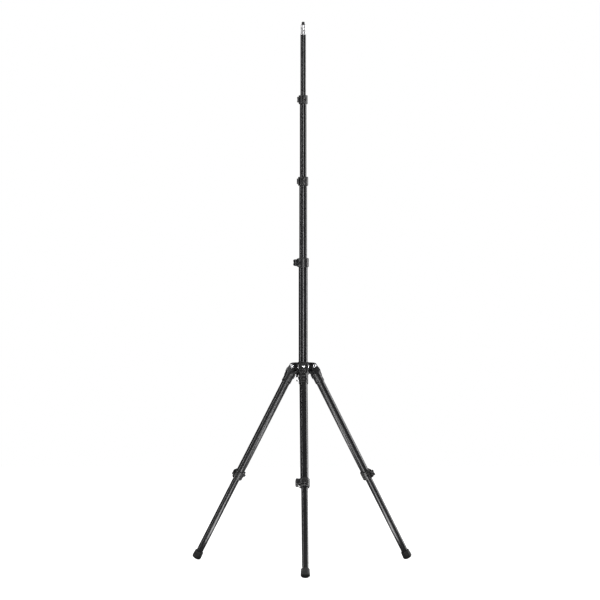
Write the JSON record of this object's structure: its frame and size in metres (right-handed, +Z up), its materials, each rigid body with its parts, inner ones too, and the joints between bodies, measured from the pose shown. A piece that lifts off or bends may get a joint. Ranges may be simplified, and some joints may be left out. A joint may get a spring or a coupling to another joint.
{
  "type": "light stand",
  "caption": "Tall black telescoping stand with a three-leg folding base, flip locks on column and legs, rubber feet and a standard spigot on top.",
  "frame": {"origin": "on the column's axis, on the floor plane that the three feet stand on", "axes": "+Z up along the column; -Y towards the front leg; +X to the right, seen from the front leg"},
  "size_m": [0.7678, 0.6694, 1.8707],
  "materials": {
    "tube_black": "black anodised, satin gloss, drawn along its length",
    "lock_black": "moulded, fine grain",
    "lever_black": "moulded, fine grain",
    "casting_black": "cast aluminium, black powder coat",
    "tab_black": "moulded",
    "rubber_black": "moulded rubber",
    "nylon": "nylon",
    "steel": "bright zinc plate",
    "steel_black": "black oxide",
    "spigot_metal": "turned, bright"
  },
  "bodies": {
    "base": {"hub": "casting_black", "hub_grub_screws": "steel_black", "hinge_bolts": "steel", "column_tube_4": "tube_black", "column_end_cap": "rubber_black", "column_collar_3": "lock_black", "column_liner_3": "nylon", "column_eyebolt_3": "steel_black"},
    "column_section_3": {"column_tube_3": "tube_black", "column_bush_3": "nylon", "column_collar_2": "lock_black", "column_liner_2": "nylon", "column_eyebolt_2": "steel_black"},
    "column_section_2": {"column_tube_2": "tube_black", "column_bush_2": "nylon", "column_collar_1": "lock_black", "column_liner_1": "nylon", "column_eyebolt_1": "steel_black"},
    "column_section_1": {"column_tube_1": "tube_black", "column_bush_1": "nylon", "spigot": "spigot_metal"},
    "spigot_cap": {"spigot_cap": "rubber_black"},
    "hook_ring": {"hook_ring": "steel"},
    "column_lever_1": {"column_lever_1": "lever_black"},
    "column_lever_2": {"column_lever_2": "lever_black"},
    "column_lever_3": {"column_lever_3": "lever_black"},
    "leg_upper_front": {"leg_casting_front": "casting_black", "leg_tube_upper_front": "tube_black", "leg_collar_front": "lock_black", "leg_liner_front": "nylon", "leg_eyebolt_front": "steel_black"},
    "leg_lower_front": {"leg_tube_lower_front": "tube_black", "leg_bush_front": "nylon", "leg_foot_front": "rubber_black"},
    "leg_lever_front": {"leg_lever_front": "lever_black"},
    "leg_angle_tab_front": {"leg_angle_tab_front": "tab_black"},
    "leg_upper_right": {"leg_casting_right": "casting_black", "leg_tube_upper_right": "tube_black", "leg_collar_right": "lock_black", "leg_liner_right": "nylon", "leg_eyebolt_right": "steel_black"},
    "leg_lower_right": {"leg_tube_lower_right": "tube_black", "leg_bush_right": "nylon", "leg_foot_right": "rubber_black"},
    "leg_lever_right": {"leg_lever_right": "lever_black"},
    "leg_angle_tab_right": {"leg_angle_tab_right": "tab_black"},
    "leg_upper_left": {"leg_casting_left": "casting_black", "leg_tube_upper_left": "tube_black", "leg_collar_left": "lock_black", "leg_liner_left": "nylon", "leg_eyebolt_left": "steel_black"},
    "leg_lower_left": {"leg_tube_lower_left": "tube_black", "leg_bush_left": "nylon", "leg_foot_left": "rubber_black"},
    "leg_lever_left": {"leg_lever_left": "lever_black"},
    "leg_angle_tab_left": {"leg_angle_tab_left": "tab_black"}
  },
  "joints": [
    {"name": "column_slide_3", "type": "slide", "parent": "base", "child": "column_section_3", "axis": [0, 0, 1], "range_m": [-0.2475, 0]},
    {"name": "column_slide_2", "type": "slide", "parent": "column_section_3", "child": "column_section_2", "axis": [0, 0, 1], "range_m": [-0.248, 0]},
    {"name": "column_slide_1", "type": "slide", "parent": "column_section_2", "child": "column_section_1", "axis": [0, 0, 1], "range_m": [-0.205, 0]},
    {"name": "column_lever_1_turn", "type": "hinge", "parent": "column_section_2", "child": "column_lever_1", "pos_m": [-0.01572, -0.02037, 1.60323], "axis": [0, 0, -1], "range_deg": [-120, 0]},
    {"name": "column_lever_2_turn", "type": "hinge", "parent": "column_section_3", "child": "column_lever_2", "pos_m": [-0.01669, -0.02179, 1.32323], "axis": [0, 0, -1], "range_deg": [-120, 0]},
    {"name": "column_lever_3_turn", "type": "hinge", "parent": "base", "child": "column_lever_3", "pos_m": [-0.02896, 0.00383, 1.04373], "axis": [0, 0, -1], "range_deg": [-120, 0]},
    {"name": "spigot_cap_pull", "type": "slide", "parent": "column_section_1", "child": "spigot_cap", "axis": [0, 0, 1], "range_m": [0, 0.012]},
    {"name": "hook_ring_swing", "type": "hinge", "parent": "base", "child": "hook_ring", "pos_m": [-0.02078, -0.012, 0.65273], "axis": [-0.5, 0.866, 0], "range_deg": [-8, 70]},
    {"name": "leg_fold_front", "type": "hinge", "parent": "base", "child": "leg_upper_front", "pos_m": [0, -0.035, 0.68823], "axis": [-1, 0, 0], "range_deg": [0, 148.5]},
    {"name": "leg_slide_front", "type": "slide", "parent": "leg_upper_front", "child": "leg_lower_front", "axis": [0, 0.5, 0.866], "range_m": [0, 0.284]},
    {"name": "leg_lever_front_turn", "type": "hinge", "parent": "leg_upper_front", "child": "leg_lever_front", "pos_m": [-0.0244, -0.26819, 0.31133], "axis": [0, 0.5, 0.866], "range_deg": [-120, 0]},
    {"name": "leg_angle_tab_front_slide", "type": "slide", "parent": "leg_upper_front", "child": "leg_angle_tab_front", "axis": [0, -0.5, -0.866], "range_m": [0, 0.004], "stiffness_N_per_m": 800, "springref_m": -0.004},
    {"name": "leg_fold_right", "type": "hinge", "parent": "base", "child": "leg_upper_right", "pos_m": [0.03031, 0.0175, 0.68823], "axis": [0.5, -0.866, 0], "range_deg": [0, 148.5]},
    {"name": "leg_slide_right", "type": "slide", "parent": "leg_upper_right", "child": "leg_lower_right", "axis": [-0.433, -0.25, 0.866], "range_m": [0, 0.284]},
    {"name": "leg_lever_right_turn", "type": "hinge", "parent": "leg_upper_right", "child": "leg_lever_right", "pos_m": [0.24446, 0.11296, 0.31133], "axis": [-0.433, -0.25, 0.866], "range_deg": [-120, 0]},
    {"name": "leg_angle_tab_right_slide", "type": "slide", "parent": "leg_upper_right", "child": "leg_angle_tab_right", "axis": [0.433, 0.25, -0.866], "range_m": [0, 0.004], "stiffness_N_per_m": 800, "springref_m": -0.004},
    {"name": "leg_fold_left", "type": "hinge", "parent": "base", "child": "leg_upper_left", "pos_m": [-0.03031, 0.0175, 0.68823], "axis": [0.5, 0.866, 0], "range_deg": [0, 148.5]},
    {"name": "leg_slide_left", "type": "slide", "parent": "leg_upper_left", "child": "leg_lower_left", "axis": [0.433, -0.25, 0.866], "range_m": [0, 0.284]},
    {"name": "leg_lever_left_turn", "type": "hinge", "parent": "leg_upper_left", "child": "leg_lever_left", "pos_m": [-0.22006, 0.15523, 0.31133], "axis": [0.433, -0.25, 0.866], "range_deg": [-120, 0]},
    {"name": "leg_angle_tab_left_slide", "type": "slide", "parent": "leg_upper_left", "child": "leg_angle_tab_left", "axis": [-0.433, 0.25, -0.866], "range_m": [0, 0.004], "stiffness_N_per_m": 800, "springref_m": -0.004}
  ]
}
